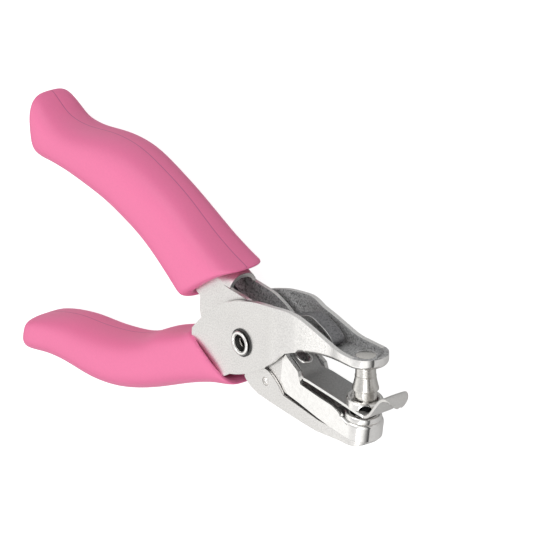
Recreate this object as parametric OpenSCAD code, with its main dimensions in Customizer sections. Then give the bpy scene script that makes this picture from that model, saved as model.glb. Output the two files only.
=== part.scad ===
// Hand-held single hole punch of the pliers type, in its own frame, millimetres.
// The pivot axis is Z through the origin, +X runs along the lower jaw to the nose, and
// +Y runs from the die towards the punch. The lower jaw and the upper handle are one
// stamping (the die arm). The upper jaw and the lower handle are the other (the punch
// arm), drawn closed and then turned open by open_angle.

/* [Jaws] */
// Distance from the pivot to the punch and die axis
reach = 41.6; // [36:0.2:52]
// Angle the jaws stand open at rest, degrees
open_angle = 6.7; // [5:0.1:8]
// Outer radius of the lower jaw's nose
nose_r = 5.6; // [5.5:0.1:7]
// Outer radius of the upper jaw's nose
top_nose_r = 6.1; // [5.5:0.1:7]
// Height of the paper line above the die plate's web
die_rise = 1.5; // [1:0.1:2]

/* [Stampings] */
// Half of the width over the punch arm's ears
ear_half = 7.25; // [7.2:0.05:9]
// Sheet thickness of the punch arm
ear_t = 1.35; // [1:0.05:1.65]
// Half of the width over the die arm's walls at the pivot
arm_half = 4.9; // [4.4:0.05:4.95]
// Sheet thickness of the die arm
arm_t = 1.2; // [0.9:0.05:1.45]

/* [Pivot] */
// Radius of the tubular rivet's shank
rivet_r = 2.5; // [2:0.05:3]
// Radius of the hole through the rivet
rivet_bore_r = 1.6; // [1.2:0.05:1.9]
// Radius of the rivet's rolled heads
rivet_head_r = 3.4; // [3.3:0.05:4.2]
// Height of each rolled head
rivet_head_h = 0.8; // [0.6:0.05:1]
// Thickness of the thin washer under each head
washer_t = 0.4; // [0.3:0.05:0.6]

/* [Punch and die] */
// Radius of the punch's cutting end
punch_r = 3.1; // [2.5:0.05:3.2]
// Radius of the punch's neck
neck_r = 2.75; // [2.2:0.05:3]
// Largest radius of the punch's flare
flare_r = 3.6; // [3.3:0.05:3.65]
// How far the punch enters the die when closed
punch_depth = 1.5; // [1:0.1:1.8]

/* [Stripper] */
// Thickness of the stripper strip
strip_t = 0.8; // [0.5:0.05:1]
// Half of the strip's width
strip_half = 4.5; // [4.3:0.1:5]
// Gap for paper between the jaw's edge and the strip
paper_gap = 1.2; // [0.8:0.1:1.5]

/* [Return spring] */
// Thickness of the leaf spring
leaf_t = 0.7; // [0.5:0.05:0.9]
// Half of the leaf's width
leaf_half = 2.2; // [1.5:0.1:3]

/* [Chip tray] */
// Sheet thickness of the tray
tray_t = 0.7; // [0.5:0.05:0.8]
// Radius of the pivot dimples
dimple_r = 1.5; // [1.2:0.05:1.8]

/* [Grips] */
// Length of each handle, from the pivot to the end of its grip
handle_len = 101; // [86:1:122]
// Half of the grip's greatest width
grip_half = 9.4; // [9.2:0.1:11]

/* [Hidden] */
$fn = 48;
eps = 0.01;
run_gap = 0.05;              // radial or side clearance of a running fit
seat_gap = 0.02;             // gap between faces that are pressed together
side_gap = 0.1;              // clearance between sliding sheets
arm_in = arm_half - arm_t;
ear_in = ear_half - ear_t;
hole_r = rivet_r + run_gap;
spacer_t = ear_in - arm_half - 2 * run_gap;
spacer_r = rivet_r + 1.7;
washer_r = rivet_head_r + 0.55;
washer_z = ear_half + run_gap;
head_z = washer_z + washer_t;
tip_z = head_z + rivet_head_h;

// Levels along Y on the die arm
rim_y = -2.9;                        // top edge of the lower jaw's walls
die_y = rim_y - 0.2;                 // top of the die
web_y = die_y - die_rise;            // top of the nose's web
strip_y = rim_y + paper_gap;         // underside of the stripper strip
strip_top = strip_y + strip_t;
jaw_bottom = -9.5;                   // lower edge of the jaw at the nose
tray_bottom = -13.3;
tray_half = arm_half + side_gap + tray_t;
die_r = punch_r + 0.3;
die_body_r = die_r + 0.8;
die_flange_r = nose_r - 0.6;
collar_in = flare_r + 0.25;
collar_r = collar_in + 1.1;
collar_top = 1.2;

// Levels along Y on the punch arm, in its closed position
jaw_y = 6.2;                         // underside of the upper jaw's web at the punch
nose_top = jaw_y + 3.0;
punch_tip = die_y - punch_depth;
flare_y = punch_tip + 3;
neck_y = flare_y + 3.8;
mid_x = reach - 18;                  // where the upper jaw starts to narrow

hinge = [8.9, -8.2];                 // axis of the tray's dimples

// Smooth curve through the points p, with n steps to each span.
function knot(p, i) = p[max(0, min(len(p) - 1, i))];
function blend4(a, b, c, d, t) =
    0.5 * (2 * b + (c - a) * t + (2 * a - 5 * b + 4 * c - d) * t * t
           + (3 * b - a - 3 * c + d) * t * t * t);
function curve(p, n = 4) = concat(
    [for (i = [0 : len(p) - 2], k = [0 : n - 1])
        blend4(knot(p, i - 1), p[i], p[i + 1], knot(p, i + 2), k / n)],
    [p[len(p) - 1]]);

// Outline of a sheet of thickness t whose middle follows the points p.
function unit(v) = v / norm(v);
function side(p, i) =
    let (d = unit(knot(p, i + 1) - knot(p, i - 1))) [-d[1], d[0]];
function ribbon(p, t) = concat(
    [for (i = [0 : len(p) - 1]) p[i] + side(p, i) * t / 2],
    [for (i = [len(p) - 1 : -1 : 0]) p[i] - side(p, i) * t / 2]);

// Prism along Z, centred, of the side outline p.
module slab(p, half) {
    linear_extrude(2 * half, center = true) polygon(p);
}
// Prism along Y of a plan outline drawn in X and Z.
module plan(low, high) {
    translate([0, high, 0]) rotate([90, 0, 0]) linear_extrude(high - low) children();
}
// Both of a pair of pieces that mirror each other about the middle plane.
module pair() {
    children();
    mirror([0, 0, 1]) children();
}

// ---- Die arm: lower jaw, pivot cheeks and upper tang, one bent sheet ----
jaw_plan_x = [14, 30];               // the lower jaw's walls spread between these

function cheek_outline() = concat(
    curve([[-9.5, 11.5], [-4, 11.5], [0.6, 11.1], [7.7, 8.4], [15.9, 2.2]], 4),
    [[20.6, 0.3], [22.2, rim_y]],
    curve([[reach - 7, rim_y], [reach - 5, rim_y - 0.35], [reach - 3.5, rim_y - 0.95],
           [reach - 2.8, web_y]], 4),
    [[reach + nose_r + 1, web_y], [reach + nose_r + 1, jaw_bottom],
     [reach - 6, jaw_bottom], [22.6, -8.6], [16.1, -8.4], [13.2, -7.0]],
    curve([[13.2, -7.0], [12.3, -10.2], [8.9, -11.6], [5.4, -10.0], [0, -8.8], [-8, -6.4],
           [-15.5, -5.0], [-20.3, -1.8], [-21.2, 4.0]], 4),
    [[-21.2, 11.5]]);

// The wide part of the tang, from the grip's mouth to its end.
function tang_top() = [[-9.5, 14.6], [-16, 16.83], [-27, 20.6], [-38, 25.3], [-52, 29.2],
                       [-0.64 * handle_len, 30.0], [-0.72 * handle_len, 28.4],
                       [-0.82 * handle_len, 26.8]];
function tang_low() = [[-0.82 * handle_len, 20.5], [-0.72 * handle_len, 19.5],
                       [-54, 16.5], [-40, 12], [-28, 7.2], [-21.2, 4.0]];
function shift(p, d) = [for (q = p) q + d];

module jaw_plan(shrink) {
    polygon([[-30, -arm_half + shrink], [jaw_plan_x[0], -arm_half + shrink],
             [jaw_plan_x[1], -nose_r + shrink], [reach, -nose_r + shrink],
             [reach, nose_r - shrink], [jaw_plan_x[1], nose_r - shrink],
             [jaw_plan_x[0], arm_half - shrink], [-30, arm_half - shrink]]);
    translate([reach, 0]) circle(nose_r - shrink);
}

// The tang's corners are rounded into an arch where it leaves the grip, square inside it.
arch_turn = -18.9;                   // direction of the tang's top near the pivot
arch_r = 4.3;                        // bend radius of the arch
arch_len = 16;
module tang_corner(k, half, r) {
    polygon(concat([[k * (half + 1), -r - 3]],
        [for (a = [15 : 15 : 75]) [k * (half - r + r * cos(a)), -r + r * sin(a)]],
        [[k * (half - r - 0.6), 0.15], [k * (half - r - 0.6), 1], [k * (half + 1), 1]]));
}
module tang_prism(shrink) difference() {
    translate([-handle_len - 5, -30, -arm_half + shrink])
        cube([handle_len + 15, 80, 2 * arm_half - 2 * shrink]);
    for (k = [-1, 1])
        translate([tang_top()[0][0], tang_top()[0][1] - shrink, 0]) rotate([0, 0, arch_turn])
            translate([8, 0, 0]) rotate([0, -90, 0]) linear_extrude(arch_len + 8)
                tang_corner(k, arm_half - shrink, arch_r - shrink);
}

module die_arm() color([0.80, 0.80, 0.79]) difference() {
    union() {
        difference() {
            intersection() {
                slab(cheek_outline(), nose_r + 1);
                plan(-20, 20) jaw_plan(0);
            }
            plan(-20, web_y - arm_t) jaw_plan(arm_t);
            intersection() {
                plan(-20, 20) jaw_plan(arm_t);
                translate([reach - 7 - 100, -20, -50]) cube([100, 60, 100]);
            }
            plan(web_y, 20) jaw_plan(arm_t);
        }
        difference() {
            intersection() {
                slab(concat(tang_top(), tang_low(), [[-9.5, 9.2]]), ear_half);
                tang_prism(0);
            }
            intersection() {
                slab(concat([[6, 15]], shift(tang_top(), [0, -arm_t]),
                     [[-handle_len, 26], [-handle_len, -5], [6, -5]]), ear_half);
                tang_prism(arm_t);
            }
        }
    }
    cylinder(r = hole_r, h = 40, center = true);
    translate([hinge[0], hinge[1], 0]) cylinder(r = dimple_r + run_gap, h = 40, center = true);
    translate([reach, 0, 0]) rotate([90, 0, 0])
        cylinder(r = die_body_r, h = 40, center = true);
}

// ---- Punch arm: upper jaw, ears and lower tang, drawn closed ----
function ear_top() = curve([[-21.3, -2.6], [-17.4, 1.65], [-13.1, 5.4], [-8.8, 8.5],
    [-4.4, 10.5], [0, 12.0], [4.1, 13.1], [10.7, 14.0], [15.8, 14.2], [mid_x - 3.8, 13.6],
    [mid_x + 0.6, 12.6], [mid_x + 5, 11.3], [mid_x + 10.4, 9.8], [reach - 3, nose_top + 0.1],
    [reach + 1, nose_top]], 3);
function web_low() = [[reach - 4, jaw_y], [reach - 12, jaw_y - 0.85],
                      [mid_x, jaw_y - 2.15], [mid_x - 3.1, jaw_y - 2.8]];
function ear_low() = concat([[reach + top_nose_r + 1, jaw_y]],
    curve(concat(web_low(), [[15.6, 1.6]]), 3),
    curve([[12.6, -1.6], [8.3, -5.0], [3.3, -7.9], [-2.9, -10.4], [-8.5, -11.6]], 3),
    [[-12, -12], [-21.5, -7]]);
function ear_outline() = concat(ear_top(), [[reach + top_nose_r + 1, nose_top]], ear_low());

// The lower tang, in the closed position; its web is the outer, lower side.
function low_tang_web() = [[-7.5, -12.4], [-16, -14.8], [-27, -18.6], [-38, -23.2],
                           [-52, -28.0], [-0.72 * handle_len, -30.4],
                           [-0.82 * handle_len, -30.0]];
function low_tang_edge() = [[-0.82 * handle_len, -24.6], [-0.72 * handle_len, -24.0],
                            [-54, -21.4], [-40, -15.6], [-31, -12.2], [-25, -9.4],
                            [-21.6, -6.2], [-21.3, -2.6], [-13, -4], [-5, -10.8]];

slim_x = [13.2, 19.5];               // the ears step in to the jaw's width between these
slim_half = nose_r - 0.15;
module upper_plan(shrink) {
    ear = ear_half - shrink;
    jaw = slim_half - shrink;
    nose = top_nose_r - shrink;
    flank = concat([[-handle_len, ear]],
        curve([[slim_x[0] - 4, ear], [slim_x[0] - 1, ear - 0.05], [slim_x[0] + 1.2, ear - 0.4],
               [slim_x[1] - 1.2, jaw + 0.4], [slim_x[1] + 1, jaw + 0.05], [slim_x[1] + 4, jaw]], 3),
        curve([[reach - 12, jaw], [reach - 8, jaw + 0.1], [reach - 4, nose - 0.1], [reach, nose]], 3));
    n = len(flank);
    polygon(concat(flank, [for (i = [n - 1 : -1 : 0]) [flank[i][0], -flank[i][1]]]));
    translate([reach, 0]) circle(nose);
}

// Space between the ears and above the upper jaw's web.
web_start = mid_x - 3.1;
module upper_hollow() {
    intersection() {
        slab(concat([[-handle_len, 40], [-handle_len, -12], [-3, -12], [-3, -10], [4, -6],
                     [web_start - 3, -2]],
             curve([for (i = [3 : -1 : 0]) web_low()[i] + [0, ear_t]], 3),
             [[reach, jaw_y + ear_t], [reach + 20, jaw_y + ear_t], [reach + 20, 40]]), ear_half);
        plan(-50, 50) upper_plan(ear_t);
    }
}

module punch_arm_closed() difference() {
    union() {
        difference() {
            intersection() {
                slab(ear_outline(), ear_half);
                plan(-50, 50) upper_plan(0);
            }
            upper_hollow();
            slab([[-30, 20], [-30, -30], [slim_x[0] - 1, -30], [slim_x[0] - 1, 20]], ear_in);
        }
        difference() {
            slab(concat(low_tang_web(), low_tang_edge()), ear_half);
            slab(concat([[6, -13]], shift(low_tang_web(), [0, ear_t]),
                 [[-handle_len, -30], [-handle_len, 10], [6, 10]]), ear_in);
        }
    }
    cylinder(r = hole_r, h = 40, center = true);
    translate([reach, 0, 0]) rotate([90, 0, 0]) cylinder(r = neck_r, h = 60, center = true);
}
module opened() rotate([0, 0, open_angle]) children();
module punch_arm() color([0.82, 0.82, 0.81]) opened() punch_arm_closed();

// ---- Pivot ----
module pivot_rivet() color([0.86, 0.86, 0.86]) difference() {
    union() {
        cylinder(r = rivet_r, h = 2 * tip_z, center = true);
        pair() translate([0, 0, head_z])
            cylinder(r1 = rivet_head_r, r2 = rivet_head_r - 0.5, h = rivet_head_h);
    }
    cylinder(r = rivet_bore_r, h = 40, center = true);
}
module washer(inner, outer, low, high) {
    translate([0, 0, low]) difference() {
        cylinder(r = outer, h = high - low);
        translate([0, 0, -1]) cylinder(r = inner, h = high - low + 2);
    }
}
module pivot_washers() color([0.45, 0.45, 0.45])
    pair() washer(hole_r, washer_r, washer_z, head_z - seat_gap);
module spacer_washers() color([0.45, 0.45, 0.45])
    pair() washer(hole_r, spacer_r, arm_half + run_gap, arm_half + run_gap + spacer_t);

// ---- Punch pin, riveted in the upper jaw, and its upset head ----
head_y = jaw_y + ear_t;
module pin_closed() translate([reach, 0, 0]) rotate([-90, 0, 0]) rotate_extrude()
    polygon([[0, punch_tip + 0.5], [punch_r - 0.7, punch_tip + 0.2], [punch_r, punch_tip],
             [punch_r, flare_y], [flare_r, flare_y + 0.25], [flare_r, flare_y + 0.6],
             [neck_r + 0.1, neck_y], [neck_r + 0.1, neck_y + 0.3],
             [neck_r, neck_y + 0.3], [neck_r, jaw_y - 0.4], [neck_r + 0.4, jaw_y - 0.4],
             [neck_r + 0.4, jaw_y - seat_gap], [neck_r - seat_gap, jaw_y - seat_gap],
             [neck_r - seat_gap, head_y + 0.9], [0, head_y + 0.9]]);
module punch_pin() color([0.70, 0.70, 0.68]) opened() pin_closed();
module pin_head() color([0.62, 0.62, 0.60]) opened()
    translate([reach, 0, 0]) rotate([-90, 0, 0]) rotate_extrude()
        polygon([[neck_r, head_y + seat_gap], [neck_r + 1.1, head_y + seat_gap],
                 [neck_r + 0.6, head_y + 0.8], [neck_r, head_y + 0.8]]);

// ---- Die bush, pressed in the web of the lower nose ----
module die_bush() color([0.66, 0.66, 0.65]) translate([reach, 0, 0]) rotate([-90, 0, 0])
    rotate_extrude() polygon([
        [die_r, web_y - arm_t - 0.6], [die_body_r - seat_gap, web_y - arm_t - 0.6],
        [die_body_r - seat_gap, web_y + seat_gap], [die_flange_r, web_y + seat_gap],
        [die_flange_r, die_y - 0.5], [die_flange_r - 0.5, die_y],
        [die_r + 0.5, die_y], [die_r, die_y - 0.5]]);

// ---- Stripper: a strip rolled round the rivet, with a window and a lead-in tongue ----
eye_r = hole_r + strip_t / 2;
tongue_x = reach + 5.2;
function strip_line() = concat(
    [for (a = [-10 : -20 : -270]) eye_r * [cos(a), sin(a)]],
    curve([[4, 3.2], [12.5, 2.6], [15.5, 1.7], [18.5, 0.6], [21.2, strip_y + strip_t / 2],
           [24, strip_y + strip_t / 2]], 3),
    curve([[reach - 6, strip_y + strip_t / 2], [tongue_x, strip_y + strip_t / 2],
           [tongue_x + 1.8, strip_top + 1.6], [tongue_x + 3.8, strip_top + 4.8],
           [tongue_x + 5.6, strip_top + 7.2], [tongue_x + 7.2, strip_top + 8.1],
           [tongue_x + 8.6, strip_top + 7.4], [tongue_x + 9, strip_top + 5.9]], 3));
module strip_plan() difference() {
    union() {
        polygon([[-8, -3.4], [20.2, -3.4], [22.4, -strip_half], [tongue_x, -strip_half],
                 [tongue_x + 3, -strip_half + 0.4], [tongue_x + 5.6, -strip_half + 1.1],
                 [tongue_x + 5.6, strip_half - 1.1], [tongue_x + 3, strip_half - 0.4],
                 [tongue_x, strip_half], [22.4, strip_half], [20.2, 3.4], [-8, 3.4]]);
        translate([tongue_x + 5.6, 0]) circle(strip_half - 1.1);
    }
    translate([reach, 0]) circle(collar_in);
    polygon([[reach, -2.6], [tongue_x - 1.2, -2.6], [tongue_x - 1.2, 2.6], [reach, 2.6]]);
    translate([14.6, 0]) circle(1.5);
    translate([17.4, 0]) circle(1.5);
    translate([14.6, -1.5]) square([2.8, 3]);
}
module stripper() color([0.62, 0.62, 0.62]) intersection() {
    slab(ribbon(strip_line(), strip_t), strip_half + 1);
    plan(-30, 30) strip_plan();
}
module stripper_collar() color([0.85, 0.85, 0.84]) translate([reach, 0, 0]) difference() {
    rotate([-90, 0, 0]) rotate_extrude() polygon([
        [collar_in, strip_top + seat_gap], [collar_r, strip_top + seat_gap],
        [collar_r, collar_top - 0.4], [collar_r - 0.4, collar_top], [collar_in, collar_top]]);
    rotate([0, -38, 0]) translate([0, strip_top, 0]) rotate([0, 90, 0])
        cylinder(r = 1.9, h = 10);
}

// ---- Return spring: a leaf fixed on the upper jaw's web, bearing under the upper tang ----
leaf_foot = jaw_y - 0.75 + ear_t + leaf_t / 2 + 0.15;
function leaf_line() = curve([[mid_x + 4.4, leaf_foot - 0.25], [mid_x + 5.8, leaf_foot],
    [mid_x + 6.9, leaf_foot + 0.8], [mid_x + 6.7, leaf_foot + 1.9], [mid_x + 5.2, leaf_foot + 3.2],
    [mid_x + 2.2, leaf_foot + 4.7], [mid_x - 2, leaf_foot + 5.8], [16.5, 11.2], [11, 9.4], [5, 7.6],
    [-2, 6.6], [-9, 7.2], [-14, 9.2], [-18, 12.6]], 3);
module return_spring() color([0.55, 0.55, 0.56]) opened()
    slab(ribbon(leaf_line(), leaf_t), leaf_half);

// ---- Chip tray: hangs on two dimples under the lower jaw ----
tray_top = jaw_bottom - 0.3;
function tray_side() = concat(
    [[16.4, -8.9], [22.6, -9.1], [reach - 6, tray_top], [reach + 5, tray_top]],
    curve([[reach + 5, tray_top - 0.5], [reach + 2, tray_bottom + 1.6], [reach - 4, tray_bottom + 0.7],
           [reach - 16, tray_bottom], [14, tray_bottom - 0.1], [6.5, tray_bottom]], 3),
    curve([[3, -12.4], [0.4, -10.6], [1.6, -8.2], [5.4, -5.2], [9.4, -4.6], [13, -6.2],
           [14.8, -7.6]], 3));
module tray_plan(shrink) {
    polygon([[-5, -tray_half + shrink], [reach - 11, -tray_half + shrink],
             [reach - 4, -nose_r + 1.1 + shrink], [reach, -nose_r + 1.1 + shrink],
             [reach, nose_r - 1.1 - shrink], [reach - 4, nose_r - 1.1 - shrink],
             [reach - 11, tray_half - shrink], [-5, tray_half - shrink]]);
    translate([reach, 0]) circle(nose_r - 1.1 - shrink);
}
module chip_tray() color([0.76, 0.75, 0.74]) difference() {
    union() {
        difference() {
            intersection() {
                slab(tray_side(), tray_half + 1);
                plan(-30, 10) tray_plan(0);
            }
            intersection() {
                plan(-30, 10) tray_plan(tray_t);
                slab(concat([[-6, 10], [-6, -30], [6.2, -30]],
                     curve([[6.5, tray_bottom + tray_t], [14, tray_bottom - 0.1 + tray_t],
                            [reach - 16, tray_bottom + tray_t], [reach - 4, tray_bottom + 0.7 + tray_t],
                            [reach + 2, tray_bottom + 1.6 + tray_t], [reach + 6, tray_top]], 3),
                     [[reach + 10, 10]]), tray_half + 1);
            }
        }
        pair() translate([hinge[0], hinge[1], arm_half - arm_t])
            cylinder(r = dimple_r, h = tray_half - arm_half + arm_t - 0.2);
    }
    pair() translate([hinge[0], hinge[1], tray_half]) scale([1, 1, 1])
        sphere(r = dimple_r - 0.35);
}

// ---- Grips: soft sleeves, the same moulding on both handles ----
// Outer and inner edges of the grip in side view, from the mouth to the end.
function grip_x(x) = x < -50 ? -50 + (x + 50) * (handle_len - 50) / 51 : x;
upper_rows = [ // outer x, y, inner x, y, half-width factor, squareness
    [-7.6, 17.0, -27.2, -0.2, 0.97, 0.55], [-15.6, 19.1, -34.1, 4.1, 0.95, 0.58],
    [-24.5, 22.6, -41.5, 7.9, 0.93, 0.65], [-34.3, 27.3, -49.1, 10.4, 0.92, 0.75],
    [-45.5, 31.0, -55.7, 12.3, 0.96, 0.8], [-56.8, 33.5, -62.9, 14.3, 1, 0.8],
    [-68.2, 32.9, -71.4, 15.4, 1, 0.8], [-79.1, 30.4, -79.6, 16.2, 0.97, 0.8],
    [-87.9, 30.0, -86.6, 16.5, 0.94, 0.8], [-93.8, 32.4, -91.6, 17.2, 0.93, 0.75],
    [-97.0, 34.2, -94.0, 18.2, 0.88, 0.75], [-98.7, 34.2, -95.6, 20.0, 0.8, 0.75],
    [-99.4, 32.8, -97.2, 23.0, 0.58, 0.75]];
lower_rows = [
    [-5.5, 16.0, -23.5, 4.5, 0.97, 0.5], [-15.0, 17.9, -30.6, 7.6, 0.95, 0.55],
    [-25.4, 21.8, -39.4, 10.4, 0.93, 0.65], [-35.2, 26.2, -46.0, 14.0, 0.92, 0.75],
    [-45.7, 30.6, -53.3, 16.7, 0.96, 0.8], [-56.6, 33.9, -61.6, 18.4, 1, 0.8],
    [-67.8, 35.1, -70.6, 19.5, 1, 0.8], [-79.0, 34.3, -79.4, 20.0, 0.97, 0.8],
    [-88.2, 34.3, -87.2, 20.6, 0.94, 0.75], [-94.2, 35.2, -92.6, 21.0, 0.93, 0.7],
    [-98.0, 36.0, -96.0, 21.3, 0.9, 0.7], [-99.8, 35.4, -97.8, 22.4, 0.8, 0.7],
    [-100.7, 33.6, -99.2, 25.0, 0.58, 0.7]];
function power(v, k) = sign(v) * pow(abs(v), k);
grip_sides = 24;
function grip_ring(r) =
    let (o = [grip_x(r[0]), r[1]], i = [grip_x(r[2]), r[3]], m = (o + i) / 2, v = (o - i) / 2)
    [for (k = [0 : grip_sides - 1]) let (a = 360 * (k + 0.5) / grip_sides)
        [m[0] + v[0] * power(cos(a), r[5]), m[1] + v[1] * power(cos(a), r[5]),
         grip_half * r[4] * power(sin(a), r[5])]];
module grip_body(rows) {
    rings = [for (r = curve(rows, 2)) grip_ring(r)];
    n = len(rings);
    m = grip_sides;
    polyhedron(
        points = [for (q = rings, p = q) p],
        faces = concat(
            [[for (k = [m - 1 : -1 : 0]) k]],
            [for (i = [0 : n - 2], k = [0 : m - 1])
                each [[i * m + k, i * m + (k + 1) % m, (i + 1) * m + k],
                      [i * m + (k + 1) % m, (i + 1) * m + (k + 1) % m, (i + 1) * m + k]]],
            [[for (k = [0 : m - 1]) (n - 1) * m + k]]));
}
tang_fit = 0.04;                     // clearance of the tang in its grip
module upper_grip() color([0.98, 0.50, 0.70]) difference() {
    grip_body(upper_rows);
    slab(concat([[0, 12]], shift(tang_top(), [0, tang_fit]),
         [[-0.82 * handle_len - 0.5, 26.8], [-0.82 * handle_len - 0.5, 20.5]],
         shift(tang_low(), [0, -tang_fit]), [[-19, -8], [0, -8]]), arm_half + tang_fit);
}
module lower_grip() color([0.98, 0.50, 0.70]) opened() difference() {
    mirror([0, 1, 0]) grip_body(lower_rows);
    slab(concat([[10, -14]], shift(low_tang_web(), [0, -tang_fit]),
         [[-0.82 * handle_len - 0.5, -30.0], [-0.82 * handle_len - 0.5, -24.6]],
         [for (i = [0 : 6]) low_tang_edge()[i] + [-tang_fit, tang_fit]],
         [[-21.6 - tang_fit, 12], [10, 12]]), ear_half + tang_fit);
}

die_arm();
punch_arm();
pivot_rivet();
pivot_washers();
spacer_washers();
punch_pin();
pin_head();
die_bush();
stripper();
stripper_collar();
return_spring();
chip_tray();
upper_grip();
lower_grip();
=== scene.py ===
import math
import bpy
import bmesh
from mathutils import Matrix, Vector


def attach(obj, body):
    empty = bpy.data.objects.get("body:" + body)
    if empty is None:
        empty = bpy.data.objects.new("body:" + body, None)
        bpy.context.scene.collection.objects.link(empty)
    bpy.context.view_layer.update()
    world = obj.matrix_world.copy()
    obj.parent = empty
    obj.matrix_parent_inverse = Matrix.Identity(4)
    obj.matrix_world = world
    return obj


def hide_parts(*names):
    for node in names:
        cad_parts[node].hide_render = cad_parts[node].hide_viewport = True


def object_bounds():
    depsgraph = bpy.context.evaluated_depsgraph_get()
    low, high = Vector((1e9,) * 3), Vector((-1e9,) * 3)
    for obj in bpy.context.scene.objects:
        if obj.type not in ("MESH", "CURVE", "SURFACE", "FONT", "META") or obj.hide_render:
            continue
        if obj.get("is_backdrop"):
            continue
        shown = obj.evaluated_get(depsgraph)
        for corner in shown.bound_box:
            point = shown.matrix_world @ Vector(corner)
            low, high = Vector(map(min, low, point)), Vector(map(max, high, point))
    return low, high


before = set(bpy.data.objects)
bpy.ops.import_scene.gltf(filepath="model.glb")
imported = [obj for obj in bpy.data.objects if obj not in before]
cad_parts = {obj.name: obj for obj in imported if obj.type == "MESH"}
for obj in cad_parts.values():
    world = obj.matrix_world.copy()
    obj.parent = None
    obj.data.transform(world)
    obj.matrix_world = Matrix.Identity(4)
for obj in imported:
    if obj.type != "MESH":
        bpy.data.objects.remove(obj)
low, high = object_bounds()

# View, light and floor: a small tool lying on a pale table under an even white sky, with
# three soft boxes for the highlights. The sky darkens low down, which outlines bright metal.
opening = math.radians(6.7)
toward = Vector((0.704, 0.38, 0.60)).normalized()
toward = Vector((toward.x * math.cos(opening) - toward.y * math.sin(opening),
                 toward.x * math.sin(opening) + toward.y * math.cos(opening), toward.z))
side = (-toward).cross(Vector((-math.sin(opening), math.cos(opening), 0))).normalized()
lift = side.cross(-toward).normalized()
aim = side * 0.00108 + lift * 0.01865
camera_data = bpy.data.cameras.new("view")
camera_data.lens = 224.9
camera_data.clip_start = 0.01
camera = bpy.data.objects.new("view", camera_data)
bpy.context.scene.collection.objects.link(camera)
camera.matrix_world = Matrix((
    (side.x, lift.x, toward.x, 0.9 * toward.x + aim.x),
    (side.y, lift.y, toward.y, 0.9 * toward.y + aim.y),
    (side.z, lift.z, toward.z, 0.9 * toward.z + aim.z), (0, 0, 0, 1)))
bpy.context.scene.camera = camera
bpy.context.scene.view_settings.view_transform = "Standard"

world = bpy.data.worlds.new("studio")
bpy.context.scene.world = world
world.use_nodes = True
sky = world.node_tree
sky_dir = sky.nodes.new("ShaderNodeTexCoord")
sky_split = sky.nodes.new("ShaderNodeSeparateXYZ")
sky_ramp = sky.nodes.new("ShaderNodeValToRGB")
sky.links.new(sky_dir.outputs["Generated"], sky_split.inputs[0])
sky.links.new(sky_split.outputs["Z"], sky_ramp.inputs[0])
sky.links.new(sky_ramp.outputs["Color"], sky.nodes["Background"].inputs["Color"])
sky_ramp.color_ramp.elements[0].color = (0.03, 0.03, 0.03, 1)
sky_ramp.color_ramp.elements[1].color = (0.6, 0.6, 0.6, 1)
for place, grey in ((0.14, 0.08), (0.34, 0.42), (0.54, 0.95), (0.72, 0.95)):
    sky_ramp.color_ramp.elements.new(place).color = (grey, grey, grey * 0.985, 1)
sky.nodes["Background"].inputs["Strength"].default_value = 1.14


def soft_box(name, place, size, watts):
    data = bpy.data.lights.new(name, "AREA")
    data.shape = "RECTANGLE"
    data.size, data.size_y = size
    data.energy = watts
    light = bpy.data.objects.new(name, data)
    bpy.context.scene.collection.objects.link(light)
    light.location = place
    at_tool = Vector((-0.02, 0.0, 0.0)) - Vector(place)
    light.rotation_euler = at_tool.to_track_quat("-Z", "Y").to_euler()


soft_box("box_left", (-0.1, 0.75, 0.8), (0.5, 0.5), 1.3)
soft_box("box_front", (0.9, 0.1, 0.9), (0.4, 0.5), 1.6)
soft_box("box_right", (0.55, -0.65, 0.9), (0.3, 0.3), 1.0)

bpy.ops.object.select_all(action="DESELECT")
bpy.ops.mesh.primitive_grid_add(x_subdivisions=4, y_subdivisions=4, size=6,
                                location=(0, 0, low.z - 0.0002))
floor = bpy.context.object
floor.name = "table"
floor_paint = bpy.data.materials.new("table_paint")
floor_paint.use_nodes = True
table_tree = floor_paint.node_tree
table = table_tree.nodes["Principled BSDF"]
table.inputs["Base Color"].default_value = (0.4, 0.4, 0.4, 1)
table.inputs["Roughness"].default_value = 0.8
table.inputs["Emission Strength"].default_value = 1.0
seen = table_tree.nodes.new("ShaderNodeLightPath")
glow = table_tree.nodes.new("ShaderNodeMix")
glow.data_type = "RGBA"
glow.inputs["A"].default_value = (0.16, 0.16, 0.16, 1)
glow.inputs["B"].default_value = (0.92, 0.92, 0.92, 1)
table_tree.links.new(seen.outputs["Is Camera Ray"], glow.inputs["Factor"])
table_tree.links.new(glow.outputs["Result"], table.inputs["Emission Color"])
floor.data.materials.append(floor_paint)
floor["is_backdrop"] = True


# Die arm: lower jaw, pivot cheeks and upper tang, pressed from one strip of steel and
# barrel plated with nickel. The outside is satin, the folds are bright, and the inside of
# the channel is a dull speckled grey, darkened as painted shade inside the channel.
def math_node(nodes, operation, second=None, third=None):
    node = nodes.new("ShaderNodeMath")
    node.operation = operation
    if second is not None:
        node.inputs[1].default_value = second
    if third is not None:
        node.inputs[2].default_value = third
    return node


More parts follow.
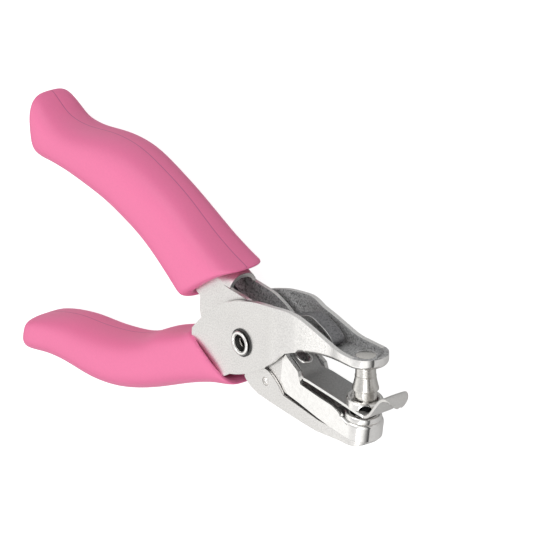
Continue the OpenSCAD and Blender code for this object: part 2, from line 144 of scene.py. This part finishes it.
def grain_group():
    group = bpy.data.node_groups.new("plating_grain", "ShaderNodeTree")
    face = group.interface
    for label, value in (("Size", 0.0003), ("Contrast", 0.2), ("Middle", 0.3)):
        socket = face.new_socket(label, in_out="INPUT", socket_type="NodeSocketFloat")
        socket.default_value = value
    face.new_socket("Tint", in_out="INPUT", socket_type="NodeSocketColor")
    face.new_socket("Color", in_out="OUTPUT", socket_type="NodeSocketColor")
    face.new_socket("Roughness", in_out="OUTPUT", socket_type="NodeSocketFloat")
    face.new_socket("Height", in_out="OUTPUT", socket_type="NodeSocketFloat")
    n, l = group.nodes, group.links
    given, out = n.new("NodeGroupInput"), n.new("NodeGroupOutput")
    where = n.new("ShaderNodeTexCoord")

    # Fine grain of the stated size, with slow clouds of tone behind it.
    over = math_node(n, "DIVIDE")
    over.inputs[0].default_value = 1.0
    fine = n.new("ShaderNodeTexNoise")
    fine.inputs["Detail"].default_value = 3.0
    fine.inputs["Roughness"].default_value = 0.65
    cloud = n.new("ShaderNodeTexNoise")
    cloud.inputs["Scale"].default_value = 140
    cloud.inputs["Detail"].default_value = 2.0
    l.new(given.outputs["Size"], over.inputs[1])
    l.new(over.outputs[0], fine.inputs["Scale"])
    l.new(where.outputs["Object"], fine.inputs["Vector"])
    l.new(where.outputs["Object"], cloud.inputs["Vector"])
    spread = n.new("ShaderNodeMapRange")
    spread.inputs["From Min"].default_value = 0.3
    spread.inputs["From Max"].default_value = 0.7
    spread.inputs["To Min"].default_value = -1.0
    l.new(fine.outputs[0], spread.inputs["Value"])
    drift = math_node(n, "SUBTRACT", 0.5)
    l.new(cloud.outputs[0], drift.inputs[0])
    total = math_node(n, "MULTIPLY_ADD", 0.5)
    l.new(drift.outputs[0], total.inputs[0])
    l.new(spread.outputs[0], total.inputs[2])

    # The grain lightens or darkens the tint, and the darker spots are a little rougher.
    gain = math_node(n, "MULTIPLY_ADD", None, 1.0)
    l.new(total.outputs[0], gain.inputs[0])
    l.new(given.outputs["Contrast"], gain.inputs[1])
    shade = n.new("ShaderNodeVectorMath")
    shade.operation = "SCALE"
    l.new(given.outputs["Tint"], shade.inputs[0])
    l.new(gain.outputs[0], shade.inputs["Scale"])
    l.new(shade.outputs[0], out.inputs["Color"])
    rough = math_node(n, "MULTIPLY_ADD")
    l.new(total.outputs[0], rough.inputs[0])
    half = math_node(n, "MULTIPLY", -0.4)
    l.new(given.outputs["Contrast"], half.inputs[0])
    l.new(half.outputs[0], rough.inputs[1])
    l.new(given.outputs["Middle"], rough.inputs[2])
    l.new(rough.outputs[0], out.inputs["Roughness"])
    l.new(spread.outputs[0], out.inputs["Height"])
    return group


plating_grain = grain_group()
satin_tint = (0.83, 0.812, 0.797)
bright_tint = (0.92, 0.905, 0.89)


# A metal of one tint: its middle roughness, grain size, grain contrast and bump in metres.
# polish = (from X, to X, roughness) makes it brighter and smoother towards the jaws.
def plated(name, tint, middle, size, contrast, bump, polish=None):
    mat = bpy.data.materials.new(name)
    mat.use_nodes = True
    n, l = mat.node_tree.nodes, mat.node_tree.links
    steel = n["Principled BSDF"]
    steel.inputs["Metallic"].default_value = 1.0
    grain = n.new("ShaderNodeGroup")
    grain.node_tree = plating_grain
    grain.inputs["Size"].default_value = size
    grain.inputs["Contrast"].default_value = contrast
    grain.inputs["Middle"].default_value = middle
    grain.inputs["Tint"].default_value = (*tint, 1)
    relief = n.new("ShaderNodeBump")
    relief.inputs["Strength"].default_value = 1.0
    relief.inputs["Distance"].default_value = bump
    l.new(grain.outputs["Color"], steel.inputs["Base Color"])
    l.new(grain.outputs["Roughness"], steel.inputs["Roughness"])
    l.new(grain.outputs["Height"], relief.inputs["Height"])
    l.new(relief.outputs[0], steel.inputs["Normal"])
    if polish:
        start, end, smooth = polish
        where, split = n.new("ShaderNodeTexCoord"), n.new("ShaderNodeSeparateXYZ")
        ease, shade, sheen = (n.new("ShaderNodeMapRange"), n.new("ShaderNodeMapRange"),
                              n.new("ShaderNodeMix"))
        ease.interpolation_type = "SMOOTHSTEP"
        for node in (ease, shade):
            node.inputs["From Min"].default_value = start
            node.inputs["From Max"].default_value = end
        ease.inputs["To Min"].default_value = middle
        ease.inputs["To Max"].default_value = smooth
        sheen.data_type = "RGBA"
        sheen.inputs["A"].default_value = (*tint, 1)
        sheen.inputs["B"].default_value = (*bright_tint, 1)
        l.new(where.outputs["Object"], split.inputs[0])
        l.new(split.outputs["X"], ease.inputs["Value"])
        l.new(split.outputs["X"], shade.inputs["Value"])
        l.new(ease.outputs[0], grain.inputs["Middle"])
        l.new(shade.outputs[0], sheen.inputs["Factor"])
        l.new(sheen.outputs["Result"], grain.inputs["Tint"])
    return mat


satin_nickel = plated("satin_nickel", satin_tint, 0.38, 0.00038, 0.14, 0.000005)
ear_nickel = plated("ear_nickel", satin_tint, 0.38, 0.00038, 0.14, 0.000005,
                    (0.011, 0.03, 0.14))
bright_nickel = plated("bright_nickel", bright_tint, 0.13, 0.0012, 0.05, 0.000004)
# Dull speckled grey for faces inside the channels, darkened as painted shade.
shaded_speckled_inside = plated("shaded_speckled_inside", (0.46, 0.46, 0.465), 0.46, 0.0005, 0.75, 0.00003)
shaded_speckled_inside.node_tree.nodes["Principled BSDF"].inputs["Metallic"].default_value = 0.4
# Cut edges: a bright sheared finish, lightened further as a painted highlight along the rims.
cut_edge_highlight = plated("cut_edge_highlight", (0.92, 0.915, 0.90), 0.3, 0.0005, 0.12, 0.000003)
# The narrow bevels are painted dark, a painted reflection of the dark side of the room at the
# corner of a stamping.
dark_edge_reflection = plated("dark_edge_reflection", (0.16, 0.155, 0.15), 0.4, 0.0006, 0.5, 0.000003)


# The exact part with its corners broken. zone picks the material of each face, and the last
# material goes on the bevels. fold picks the edges that the bending tool rounded.
def deburred(node, name, body, mats, zone, width, fold=None, fold_width=0.0, segments=2):
    bpy.ops.object.select_all(action="DESELECT")
    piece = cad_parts[node].copy()
    piece.data = piece.data.copy()
    piece.name = name
    piece.parent = None
    for key in list(piece.keys()):
        del piece[key]
    bpy.context.scene.collection.objects.link(piece)
    piece.select_set(True)
    bpy.context.view_layer.objects.active = piece
    piece.data.materials.clear()
    for mat in mats:
        piece.data.materials.append(mat)
    bpy.ops.object.mode_set(mode="EDIT")
    bpy.ops.mesh.select_mode(type="EDGE")
    bpy.ops.mesh.select_all(action="SELECT")
    bpy.ops.mesh.remove_doubles(threshold=0.000002)
    bpy.ops.mesh.dissolve_limited(angle_limit=math.radians(0.1))
    bpy.ops.mesh.select_all(action="DESELECT")
    if fold:
        shape = bmesh.from_edit_mesh(piece.data)
        for edge in shape.edges:
            a, b = (v.co * 1000 for v in edge.verts)
            if len(edge.link_faces) == 2 and edge.calc_face_angle() > 0.6:
                edge.select = fold((a + b) / 2, *(f.normal for f in edge.link_faces))
        shape.select_flush_mode()
        bmesh.update_edit_mesh(piece.data)
        bpy.ops.mesh.bevel(offset=fold_width, segments=5, affect="EDGES", clamp_overlap=False)
        bpy.ops.mesh.select_all(action="DESELECT")
    bpy.ops.object.mode_set(mode="OBJECT")
    if zone:
        for face in piece.data.polygons:
            face.material_index = zone(face.center * 1000, face.normal)
    burr = piece.modifiers.new("burr", "BEVEL")
    burr.width = width
    burr.segments = segments
    burr.limit_method = "ANGLE"
    burr.angle_limit = math.radians(35)
    burr.use_clamp_overlap = True
    burr.material = len(mats) - 1
    bpy.ops.object.modifier_apply(modifier="burr")
    bpy.ops.object.shade_smooth_by_angle(angle=math.radians(35))
    flat = piece.modifiers.new("flat", "WEIGHTED_NORMAL")
    flat.keep_sharp = True
    bpy.ops.object.modifier_apply(modifier="flat")
    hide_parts(node)
    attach(piece, body)
    return piece


# A point of the punch side, in millimetres, turned to where it is with the jaws closed.
def closed(p):
    return Vector((p.x * math.cos(opening) + p.y * math.sin(opening),
                   p.y * math.cos(opening) - p.x * math.sin(opening), p.z))


jaw_reach = 41.6
die_wall = 3.72
die_jaw_start = 9


def die_arm_zone(c, n):
    wall = abs(c.z) > die_wall
    # Edges of the walls: the bright cut edge, with a painted highlight.
    if wall and abs(n.z) < 0.5:
        return 3
    # Faces turned into the channel and the web's underside get painted shade.
    if n.z * c.z < -0.3 * abs(c.z):
        return 2
    if not wall and n.y < -0.3:
        return 2
    if c.x > die_jaw_start and c.y < 0:
        return 1
    return 0


def die_arm_fold(p, a, b):
    top, flank = (a, b) if a.y > b.y else (b, a)
    outward = flank.z * p.z + flank.x * max(p.x - jaw_reach, 0) > 0
    on_nose = p.x > 38.9 and p.y > -5.2
    return on_nose and top.y > 0.7 and abs(flank.y) < 0.4 and outward


deburred("die_arm", "die_arm_stamping", "die_side",
         [satin_nickel, bright_nickel, shaded_speckled_inside, cut_edge_highlight, dark_edge_reflection], die_arm_zone, 0.00016,
         die_arm_fold, 0.0011)


# Punch arm: upper jaw, ears and lower tang, the second stamping. Its ears stand outside the
# die arm's cheeks and its folds are burnished bright by the bending tool.
ear_wall = 5.92
jaw_wall = 4.12
nose_radius = 4.8


def punch_arm_zone(p, n):
    c = closed(p)
    wall = abs(c.z) > (ear_wall if c.x < 12 else jaw_wall)
    nose = c.x > jaw_reach and math.hypot(c.x - jaw_reach, c.z) > nose_radius
    # Rims facing +Y, and all wall rims near the ears, get the bright cut edge with a painted
    # highlight.
    if (wall or nose) and abs(n.z) < 0.5 and n.y > 0.6:
        return 3
    if wall and abs(n.z) < 0.5 and c.x < 20:
        return 3
    # Faces turned into the channel and the web's inner face get painted shade.
    if n.z * c.z < -0.3 * abs(c.z) or (c.x > 8 and n.y > 0.6):
        return 2
    if c.x > jaw_reach and n.x < -0.3:
        return 2
    return 1 if c.x > 32 else 0


def punch_arm_fold(p, a, b):
    c = closed(p)
    below, flank = (a, b) if a.y < b.y else (b, a)
    outward = flank.z * c.z + flank.x * max(c.x - jaw_reach, 0) > 0
    on_web = c.x > 20.6 and c.y < 6.5
    return on_web and below.y < -0.6 and abs(flank.y) < 0.4 and outward


deburred("punch_arm", "punch_arm_stamping", "punch_side",
         [ear_nickel, bright_nickel, shaded_speckled_inside, cut_edge_highlight, dark_edge_reflection], punch_arm_zone, 0.00016,
         punch_arm_fold, 0.0012)


# Tubular rivet: the pivot. It is drawn steel tube, nickel plated, with both ends rolled
# outwards over thin blackened washers, and two more washers keep the cheeks off the ears.
def turned(name, mats, points, axis):
    bpy.ops.object.select_all(action="DESELECT")
    bpy.ops.mesh.primitive_circle_add(vertices=len(points), radius=0.001, fill_type="NOTHING")
    piece = bpy.context.object
    piece.name = name
    bpy.ops.object.mode_set(mode="EDIT")
    shape = bmesh.from_edit_mesh(piece.data)
    shape.verts.ensure_lookup_table()
    across = Vector((1, 0, 0))
    for vert, (r, h) in zip(shape.verts, points):
        vert.co = (across * r + axis * h) * 0.001
    bmesh.update_edit_mesh(piece.data)
    bpy.ops.mesh.select_all(action="SELECT")
    bpy.ops.mesh.spin(steps=72, angle=2 * math.pi, center=(0, 0, 0), axis=axis)
    bpy.ops.mesh.select_all(action="SELECT")
    bpy.ops.mesh.remove_doubles(threshold=0.000002)
    bpy.ops.mesh.normals_make_consistent(inside=False)
    bpy.ops.object.mode_set(mode="OBJECT")
    for mat in mats:
        piece.data.materials.append(mat)
    bpy.ops.object.shade_smooth_by_angle(angle=math.radians(40))
    return piece


def settle(piece, slot, body, *nodes):
    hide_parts(*nodes)
    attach(piece, body)


# Blackened steel for the washers; the same dark is painted into the bores as shade.
dark_steel = plated("dark_steel", (0.09, 0.09, 0.09), 0.38, 0.0005, 0.2, 0.000003)
# Radius and height of one end of the tube, from the lip over the washer into the bore.
rolled = [(2.5, 7.71), (3.05, 7.72), (3.32, 7.84), (3.44, 8.06), (3.36, 8.3),
          (3.12, 8.46), (2.82, 8.5), (2.55, 8.4), (2.36, 8.18), (2.26, 7.9),
          (2.16, 7.5), (1.98, 7.1), (1.8, 6.6), (1.66, 5.6), (1.62, 4.0)]
rivet = turned("tube_rivet", [bright_nickel, dark_steel],
               rolled + [(r, -h) for r, h in reversed(rolled)], Vector((0, 0, 1)))
# The mouth of the bore is painted dark: painted shade in the hole.
for face in rivet.data.polygons:
    c = face.center * 1000
    if 1.75 < math.hypot(c.x, c.y) < 2.25:
        face.material_index = 1
settle(rivet, "bright_nickel", "die_side", "pivot_rivet")
for node in ("pivot_washers", "spacer_washers"):
    deburred(node, node + "_finished", "die_side", [dark_steel], None, 0.0001)


# Punch: a pin turned from tool steel, its shank riveted over in the upper jaw. The lathe
# left fine rings, and the waist runs out to a flare above the ground cutting end.
def ring_group():
    group = bpy.data.node_groups.new("lathe_rings", "ShaderNodeTree")
    face = group.interface
    pitch = face.new_socket("Pitch", in_out="INPUT", socket_type="NodeSocketFloat")
    pitch.default_value = 2000
    face.new_socket("Rings", in_out="OUTPUT", socket_type="NodeSocketFloat")
    n, l = group.nodes, group.links
    given, out = n.new("NodeGroupInput"), n.new("NodeGroupOutput")
    where, turn = n.new("ShaderNodeTexCoord"), n.new("ShaderNodeMapping")
    turn.inputs["Rotation"].default_value = (0, 0, -opening)
    split = n.new("ShaderNodeSeparateXYZ")
    wave = n.new("ShaderNodeTexNoise")
    wave.noise_dimensions = "1D"
    wave.inputs["Detail"].default_value = 3.0
    l.new(where.outputs["Object"], turn.inputs[0])
    l.new(turn.outputs[0], split.inputs[0])
    l.new(split.outputs["Y"], wave.inputs["W"])
    l.new(given.outputs[0], wave.inputs["Scale"])
    l.new(wave.outputs[0], out.inputs[0])
    return group


lathe_rings = ring_group()
turned_steel = plated("turned_steel", (0.74, 0.72, 0.69), 0.2, 0.0006, 0.08, 0.000003)
tree = turned_steel.node_tree
rings = tree.nodes.new("ShaderNodeGroup")
rings.node_tree = lathe_rings
rings.inputs["Pitch"].default_value = 2600
ring_relief = tree.nodes.new("ShaderNodeBump")
ring_relief.inputs["Distance"].default_value = 0.00005
tree.links.new(rings.outputs[0], ring_relief.inputs["Height"])
tree.links.new(ring_relief.outputs[0], tree.nodes["Principled BSDF"].inputs["Normal"])

# Radius and height from the hollow cutting end, over the flare and the waist, to the top.
pin_profile = [(0, -4.1), (2.4, -4.4), (3.1, -4.6), (3.1, -1.6), (3.35, -1.45), (3.55, -1.3),
               (3.6, -1.1), (3.55, -0.85), (3.4, -0.3), (3.1, 0.9), (2.86, 2.1), (2.8, 2.4),
               (2.9, 2.5), (2.9, 2.7), (2.77, 2.8), (2.74, 4.2), (2.75, 5.75), (3.05, 5.85),
               (3.15, 6.0), (3.15, 6.16), (2.73, 6.18), (2.73, 8.3), (2.5, 8.44), (0, 8.44)]
pin = turned("punch_pin_turned", [turned_steel], pin_profile, Vector((0, 1, 0)))


# Moves a turned piece out to the middle of the nose, and with turn opens it with the arm.
def to_jaw(piece, turn):
    bpy.ops.object.select_all(action="DESELECT")
    piece.select_set(True)
    bpy.context.view_layer.objects.active = piece
    bpy.ops.object.mode_set(mode="EDIT")
    bpy.ops.mesh.select_all(action="SELECT")
    bpy.ops.transform.translate(value=(jaw_reach * 0.001, 0, 0))
    bpy.ops.object.mode_set(mode="OBJECT")
    if turn:
        for vert in piece.data.vertices:
            x, y, z = vert.co
            vert.co = (x * math.cos(opening) - y * math.sin(opening),
                       x * math.sin(opening) + y * math.cos(opening), z)


to_jaw(pin, True)
settle(pin, "turned_steel", "punch_side", "punch_pin")
# The pin head gets the same grey: painted shade inside the upper jaw.
deburred("pin_head", "pin_head_finished", "punch_side", [shaded_speckled_inside], None, 0.0001)


# Die: a hardened ring pressed into the nose of the lower jaw, its rim ground bright and its
# bore painted dark as shade in the hole.
bush_profile = [(3.4, -6.4), (4.18, -6.4), (4.18, -4.6), (5.0, -4.58), (5.02, -3.9),
                (4.92, -3.5), (4.7, -3.2), (4.4, -3.1), (4.0, -3.12), (3.7, -3.25),
                (3.48, -3.5), (3.4, -3.9)]
bush = turned("die_ring", [bright_nickel, dark_steel], bush_profile, Vector((0, 1, 0)))
for face in bush.data.polygons:
    c = face.center * 1000
    if math.hypot(c.x, c.z) < 3.46:
        face.material_index = 1
to_jaw(bush, False)
settle(bush, "turned_steel", "die_side", "die_bush")


# Stripper: a grey spring strip rolled round the rivet. Its collar lifts the paper off the
# punch, and beyond it the strip turns up into a spoon-shaped tongue that leads paper in.
grey_strip = plated("grey_strip", (0.50, 0.50, 0.50), 0.45, 0.0004, 0.14, 0.000008)
tongue_satin = plated("tongue_satin", (0.76, 0.745, 0.73), 0.34, 0.0004, 0.07, 0.000004)


def strip_zone(c, n):
    return 1 if abs(n.z) > 0.5 else 0


# The strip is kept up to the root of the tongue, which is then built on its own.
tongue_root = 0.0462
strip = deburred("stripper", "stripper_strip", "die_side",
                 [grey_strip, cut_edge_highlight], strip_zone, 0.00012)
bpy.ops.object.mode_set(mode="EDIT")
bpy.ops.mesh.select_all(action="SELECT")
bpy.ops.mesh.bisect(plane_co=(tongue_root, 0, 0), plane_no=(1, 0, 0), clear_outer=True,
                    use_fill=True)
bpy.ops.object.mode_set(mode="OBJECT")
bpy.ops.object.select_all(action="DESELECT")
bpy.ops.mesh.primitive_grid_add(x_subdivisions=16, y_subdivisions=12, size=0.01)
tongue = bpy.context.object
tongue.name = "stripper_tongue"
# X, Y and half width down the middle of the tongue, from its root to its lip.
spine = [(46.2, -1.3, 4.5), (47.0, -1.15, 4.45), (47.8, -0.5, 4.35), (48.5, 0.5, 4.2),
         (49.2, 1.7, 4.1), (49.9, 2.9, 4.05), (50.6, 4.0, 4.0), (51.3, 5.0, 4.0),
         (52.0, 5.8, 4.0), (52.8, 6.45, 4.0), (53.6, 6.8, 3.95), (54.3, 6.8, 3.8),
         (54.9, 6.45, 3.5), (55.3, 5.85, 3.05), (55.5, 5.2, 2.4), (55.6, 4.6, 1.6),
         (55.62, 4.25, 0.7)]
for vert in tongue.data.vertices:
    u = (vert.co.x / 0.01 + 0.5) * (len(spine) - 1)
    v = vert.co.y / 0.005
    i = min(int(u + 1e-6), len(spine) - 2)
    t = u - i
    x, y, half = (a + (b - a) * t for a, b in zip(spine[i], spine[i + 1]))
    cup = 0.45 * max(0.0, min(1.0, (u - 3) / 5)) * v * v
    x -= 0.13 * max(0.0, x - 47.5)
    vert.co = Vector((x - 0.4 * cup, y - 0.6 * cup, half * v)) * 0.001
thick = tongue.modifiers.new("thick", "SOLIDIFY")
thick.thickness = 0.0008
thick.offset = 0.0
round_off = tongue.modifiers.new("round_off", "BEVEL")
round_off.width = 0.0002
round_off.segments = 3
round_off.angle_limit = math.radians(50)
soft = tongue.modifiers.new("soft", "SUBSURF")
soft.levels = soft.render_levels = 1
tongue.data.materials.append(tongue_satin)
for name in ("thick", "round_off", "soft"):
    bpy.ops.object.modifier_apply(modifier=name)
bpy.ops.object.mode_set(mode="EDIT")
bpy.ops.mesh.select_all(action="SELECT")
bpy.ops.mesh.normals_make_consistent(inside=False)
bpy.ops.object.mode_set(mode="OBJECT")
bpy.ops.object.shade_smooth_by_angle(angle=math.radians(40))
settle(tongue, "satin_nickel", "die_side", "stripper")
# The eyelet of the strip, just in front of the ears: a small oblong loop of bright metal.
bpy.ops.object.select_all(action="DESELECT")
bpy.ops.mesh.primitive_torus_add(major_segments=48, minor_segments=10, major_radius=0.0019,
                                 minor_radius=0.00045)
eyelet = bpy.context.object
eyelet.name = "strip_eyelet"
eyelet_place = Vector((16.0, 2.0, 0))
slope, square_to_it = Vector((0.944, -0.33, 0)), Vector((0.33, 0.944, 0))
for vert in eyelet.data.vertices:
    x, y, z = vert.co * 1000
    x += math.copysign(1.4, x)
    vert.co = (eyelet_place + slope * x + Vector((0, 0, 1)) * y + square_to_it * z * 0.8) * 0.001
eyelet.data.materials.append(bright_nickel)
bpy.ops.object.mode_set(mode="EDIT")
bpy.ops.mesh.select_all(action="SELECT")
bpy.ops.mesh.normals_make_consistent(inside=False)
bpy.ops.object.mode_set(mode="OBJECT")
bpy.ops.object.shade_smooth()
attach(eyelet, "die_side")
deburred("stripper_collar", "stripper_collar_finished", "die_side",
         [bright_nickel], None, 0.0003, segments=4)


# Return spring: a leaf of blued spring steel between the tangs, bent from a narrow strip.
# Its curled foot stands on the upper jaw's web. Its flat faces are dark, blued steel with
# painted shade of the channel, and its sheared edges are bright with a painted highlight.
blued_and_shaded_leaf = plated("blued_and_shaded_leaf", (0.26, 0.26, 0.27), 0.42, 0.0004, 0.4, 0.000008)


def leaf_zone(c, n):
    return 1 if abs(n.z) > 0.5 else 0


deburred("return_spring", "leaf_spring", "punch_side", [blued_and_shaded_leaf, cut_edge_highlight],
         leaf_zone, 0.00008)


# Chip tray: a trough folded from thin plated sheet that catches the punched discs. It
# swings down on two dimples pressed into its walls, and its folded rims are cut bright,
# with a painted highlight on the rims facing +Y.
def tray_zone(c, n):
    return 1 if n.y > 0.5 and abs(c.z) > 5.4 else 0


deburred("chip_tray", "chip_tray_finished", "tray",
         [satin_nickel, cut_edge_highlight, dark_edge_reflection], tray_zone, 0.00012)


# Grips: two soft vinyl sleeves, dipped pink and pulled over the tangs. Each is a hollow
# sock with a rounded lip at the mouth and a closed, flared end.
pink = (0.93, 0.215, 0.42, 1)
seam_pink = (0.50, 0.12, 0.27, 1)


def vinyl(name):
    mat = bpy.data.materials.new(name)
    mat.use_nodes = True
    n, l = mat.node_tree.nodes, mat.node_tree.links
    skin = n["Principled BSDF"]
    skin.inputs["Specular IOR Level"].default_value = 0.35
    grain = n.new("ShaderNodeGroup")
    grain.node_tree = plating_grain
    grain.inputs["Size"].default_value = 0.0006
    grain.inputs["Contrast"].default_value = 0.02
    grain.inputs["Middle"].default_value = 0.42
    grain.inputs["Tint"].default_value = pink
    relief = n.new("ShaderNodeBump")
    relief.inputs["Distance"].default_value = 0.000004

    # The mould seam runs round the middle of the sleeve as a fine groove of darker pink.
    where, split = n.new("ShaderNodeTexCoord"), n.new("ShaderNodeSeparateXYZ")
    off = math_node(n, "ABSOLUTE")
    line = n.new("ShaderNodeMapRange")
    line.interpolation_type = "SMOOTHSTEP"
    line.inputs["From Min"].default_value = 0.00004
    line.inputs["From Max"].default_value = 0.00022
    line.inputs["To Min"].default_value = 1.0
    line.inputs["To Max"].default_value = 0.0
    tone = n.new("ShaderNodeMix")
    tone.data_type = "RGBA"
    tone.inputs["B"].default_value = seam_pink
    amount = math_node(n, "MULTIPLY", 0.75)
    groove = math_node(n, "MULTIPLY_ADD", -12.0)
    l.new(where.outputs["Object"], split.inputs[0])
    l.new(split.outputs["Z"], off.inputs[0])
    l.new(off.outputs[0], line.inputs["Value"])
    l.new(line.outputs[0], amount.inputs[0])
    l.new(amount.outputs[0], tone.inputs["Factor"])
    l.new(grain.outputs["Color"], tone.inputs["A"])
    l.new(tone.outputs["Result"], skin.inputs["Base Color"])
    l.new(grain.outputs["Roughness"], skin.inputs["Roughness"])
    l.new(line.outputs[0], groove.inputs[0])
    l.new(grain.outputs["Height"], groove.inputs[2])
    l.new(groove.outputs[0], relief.inputs["Height"])
    l.new(relief.outputs[0], skin.inputs["Normal"])
    return mat


pink_vinyl = vinyl("pink_vinyl")
grip_half = 9.4
turns = 32
# Outer x, y, inner x, y, width and squareness of each section, from the mouth to the end.
upper_rows = [
    (-7.6, 17.0, -27.2, -0.2, 0.97, 0.55), (-15.6, 19.1, -34.1, 4.1, 0.95, 0.58),
    (-24.5, 22.6, -41.5, 7.9, 0.93, 0.65), (-34.3, 27.3, -49.1, 10.4, 0.92, 0.75),
    (-45.5, 31.0, -55.7, 12.3, 0.96, 0.8), (-56.8, 33.5, -62.9, 14.3, 1, 0.8),
    (-68.2, 32.9, -71.4, 15.4, 1, 0.8), (-79.1, 30.4, -79.6, 16.2, 0.97, 0.8),
    (-87.9, 30.2, -86.6, 16.2, 0.94, 0.76), (-93.2, 32.6, -90.4, 15.9, 0.93, 0.7),
    (-96.4, 34.2, -92.8, 15.9, 0.91, 0.66), (-98.2, 34.2, -94.6, 16.5, 0.86, 0.6),
    (-99.2, 32.2, -96.0, 18.4, 0.72, 0.55)]
lower_rows = [
    (-5.5, 16.0, -23.5, 4.5, 0.97, 0.5), (-15.0, 17.9, -30.6, 7.6, 0.95, 0.55),
    (-25.4, 21.8, -39.4, 10.4, 0.93, 0.65), (-35.2, 26.2, -46.0, 14.0, 0.92, 0.75),
    (-45.7, 30.6, -53.3, 16.7, 0.96, 0.8), (-56.6, 33.9, -61.6, 18.4, 1, 0.8),
    (-67.8, 35.1, -70.6, 19.5, 1, 0.8), (-79.0, 34.3, -79.4, 20.0, 0.97, 0.8),
    (-88.2, 34.4, -87.0, 21.4, 0.94, 0.75), (-94.0, 35.1, -92.0, 22.8, 0.93, 0.68),
    (-98.0, 35.7, -95.6, 24.0, 0.91, 0.64), (-100.2, 35.6, -97.8, 25.0, 0.86, 0.6),
    (-101.2, 34.2, -99.3, 26.8, 0.72, 0.56)]


# The section at place s along the sleeve, on a smooth curve through the rows.
def row_at(rows, s):
    i = min(int(s), len(rows) - 2)
    t = s - i
    picked = [rows[max(0, min(len(rows) - 1, i + d))] for d in (-1, 0, 1, 2)]
    return [0.5 * (2 * b + (c - a) * t + (2 * a - 5 * b + 4 * c - d) * t * t
                   + (3 * b - a - 3 * c + d) * t ** 3) for a, b, c, d in zip(*picked)]


# One corner of a section: wall draws it in on the outer side, inner side and across, and
# scoop hollows the mouth. The sections grow rounder towards the closed end.
def section_point(rows, s, wall, scoop, turn):
    ox, oy, ix, iy, wide, square = row_at(rows, max(s, 0.0))
    o, i = Vector((ox, oy)), Vector((ix, iy))
    along = (o - i).normalized()
    o, i = o - along * wall[0], i + along * wall[1]
    mid, arm = (o + i) / 2, (o - i) / 2
    half = grip_half * wide - wall[2]
    a = 2 * math.pi * (turn + 0.5) / turns
    c, z = math.cos(a), math.sin(a)
    end = max(0.0, min(1.0, (s - len(rows) + 6) / 4))
    mouth = max(0.0, 1 - s / 2)
    rounder = 0.3 * end + 0.2 * mouth if c > 0 else -0.12 * end
    c = math.copysign(abs(c) ** (square + rounder), c)
    z = math.copysign(abs(z) ** square, z)
    back = Vector((-along.y, along.x))
    p = mid + arm * c + back * scoop * z * z
    return p.x, p.y, half * z


def sleeve(name, rows, mirrored, walls, scoop):
    bpy.ops.object.select_all(action="DESELECT")
    bpy.ops.mesh.primitive_circle_add(vertices=turns, radius=0.01, fill_type="NGON")
    grip = bpy.context.object
    grip.name = name
    bpy.ops.object.mode_set(mode="EDIT")
    bpy.ops.mesh.select_all(action="SELECT")
    shape = bmesh.from_edit_mesh(grip.data)
    number = shape.verts.layers.int.new("number")
    for k, v in enumerate(shape.verts):
        v[number] = k
    # Place along the sleeve and share of the wall, from inside the mouth over the lip.
    lip = ((1.3, 1.15), (1.1, 1.05), (0.5, 1.0), (0.22, 0.95), (0.08, 0.85), (0.01, 0.68),
           (0.0, 0.48), (0.05, 0.26), (0.14, 0.1), (0.27, 0.01), (0.5, 0.0), (0.9, 0.0))
    stations = [(s, [w * f for w in walls], scoop if s < 0.5 else scoop / 2) for s, f in lip]
    stations += [(0.5 * i, (0, 0, 0), 0.0) for i in range(3, 2 * (len(rows) - 1) + 1)]
    for i, (s, wall, scoop_here) in enumerate(stations):
        if i:
            bpy.ops.mesh.extrude_edges_move()
        shape = bmesh.from_edit_mesh(grip.data)
        number = shape.verts.layers.int["number"]
        for v in shape.verts:
            if v.select:
                x, y, z = section_point(rows, s, wall, scoop_here, v[number])
                if mirrored:
                    x, y = (x * math.cos(opening) + y * math.sin(opening),
                            x * math.sin(opening) - y * math.cos(opening))
                v.co = Vector((x, y, z)) * 0.001
        bmesh.update_edit_mesh(grip.data)
    bpy.ops.mesh.edge_face_add()
    bpy.ops.mesh.inset(thickness=0.0025)
    bpy.ops.mesh.select_all(action="SELECT")
    bpy.ops.mesh.normals_make_consistent(inside=False)
    bpy.ops.object.mode_set(mode="OBJECT")
    smooth = grip.modifiers.new("smooth", "SUBSURF")
    smooth.levels = smooth.render_levels = 2
    bpy.ops.object.modifier_apply(modifier="smooth")
    bpy.ops.object.shade_smooth()
    return grip


upper_grip = sleeve("upper_grip_sleeve", upper_rows, False, (2.1, 4.6, 3.7), 1.2)
upper_grip.data.materials.append(pink_vinyl)
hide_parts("upper_grip")
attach(upper_grip, "die_side")
lower_grip = sleeve("lower_grip_sleeve", lower_rows, True, (2.6, 2.2, 1.65), -1.6)
lower_grip.data.materials.append(pink_vinyl)
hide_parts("lower_grip")
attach(lower_grip, "punch_side")

low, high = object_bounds()
